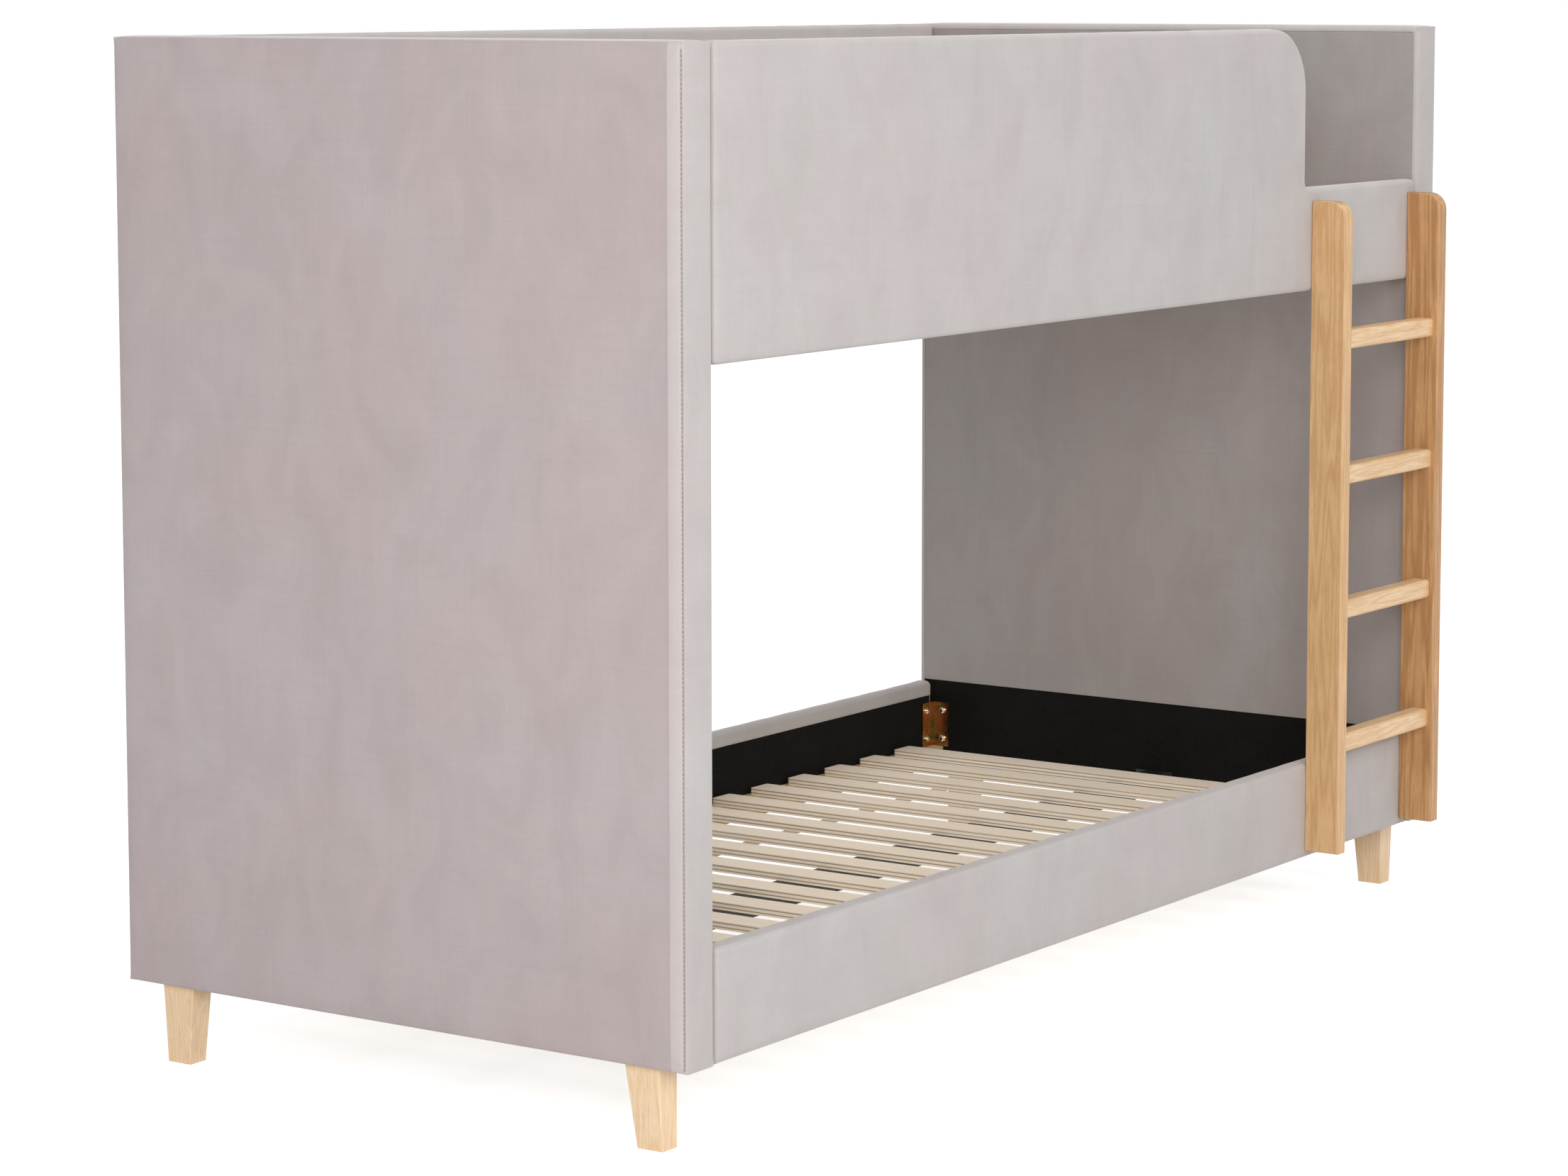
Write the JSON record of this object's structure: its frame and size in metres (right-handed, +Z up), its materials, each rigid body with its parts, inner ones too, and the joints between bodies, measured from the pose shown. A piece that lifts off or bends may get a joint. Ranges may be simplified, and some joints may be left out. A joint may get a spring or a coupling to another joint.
{
  "type": "bunk bed",
  "caption": "Upholstered bunk bed with two slatted berths between padded end panels, a stepped front guard with a ladder gate, a wooden ladder and tapered wooden legs.",
  "frame": {"origin": "on the floor, under the middle of the whole outline with the ladder", "axes": "+X along the bed towards the ladder's end, +Y from the ladder side to the back, +Z up"},
  "size_m": [2.15, 1.04, 1.455],
  "materials": {
    "velvet": "matt",
    "black_lining": "matt",
    "webbing": "matt",
    "slat_wood": "matt",
    "frame_timber": "matt",
    "plywood": "matt",
    "ladder_wood": "satin",
    "leg_wood": "satin",
    "black_steel": "satin",
    "zinc_steel": "satin"
  },
  "bodies": {
    "root": {"beam_hangers": "black_steel", "bracket_washers": "zinc_steel", "corner_brackets": "zinc_steel", "far_back_leg": "leg_wood", "far_front_leg": "leg_wood", "far_panel_cover": "velvet", "far_panel_cross_rails": "frame_timber", "far_panel_inner_board": "plywood", "far_panel_linings": "black_lining", "far_panel_lower_face": "velvet", "far_panel_outer_board": "plywood", "far_panel_posts": "frame_timber", "far_panel_upper_face": "velvet", "hanger_screws": "zinc_steel", "ladder_bolts": "zinc_steel", "ladder_far_stile": "ladder_wood", "ladder_near_stile": "ladder_wood", "ladder_rung_1": "ladder_wood", "ladder_rung_2": "ladder_wood", "ladder_rung_3": "ladder_wood", "ladder_rung_4": "ladder_wood", "ladder_washers": "zinc_steel", "leg_bolts": "zinc_steel", "leg_inserts": "zinc_steel", "lower_back_ledger": "frame_timber", "lower_back_rail_core": "frame_timber", "lower_back_rail_cover": "velvet", "lower_back_rail_lining": "black_lining", "lower_centre_beam": "black_steel", "lower_front_ledger": "frame_timber", "lower_front_rail_core": "frame_timber", "lower_front_rail_cover": "velvet", "lower_front_rail_lining": "black_lining", "lower_slat_tapes": "webbing", "lower_slats": "slat_wood", "near_back_leg": "leg_wood", "near_front_leg": "leg_wood", "near_panel_cover": "velvet", "near_panel_cross_rails": "frame_timber", "near_panel_inner_board": "plywood", "near_panel_linings": "black_lining", "near_panel_lower_face": "velvet", "near_panel_outer_board": "plywood", "near_panel_posts": "frame_timber", "near_panel_upper_face": "velvet", "panel_bolts": "zinc_steel", "rail_bolts": "zinc_steel", "upper_back_guard_core": "frame_timber", "upper_back_guard_cover": "velvet", "upper_back_guard_lining": "black_lining", "upper_back_ledger": "frame_timber", "upper_centre_beam": "black_steel", "upper_front_guard_core": "frame_timber", "upper_front_guard_cover": "velvet", "upper_front_guard_lining": "black_lining", "upper_front_ledger": "frame_timber", "upper_slat_tapes": "webbing", "upper_slats": "slat_wood"}
  },
  "joints": []
}
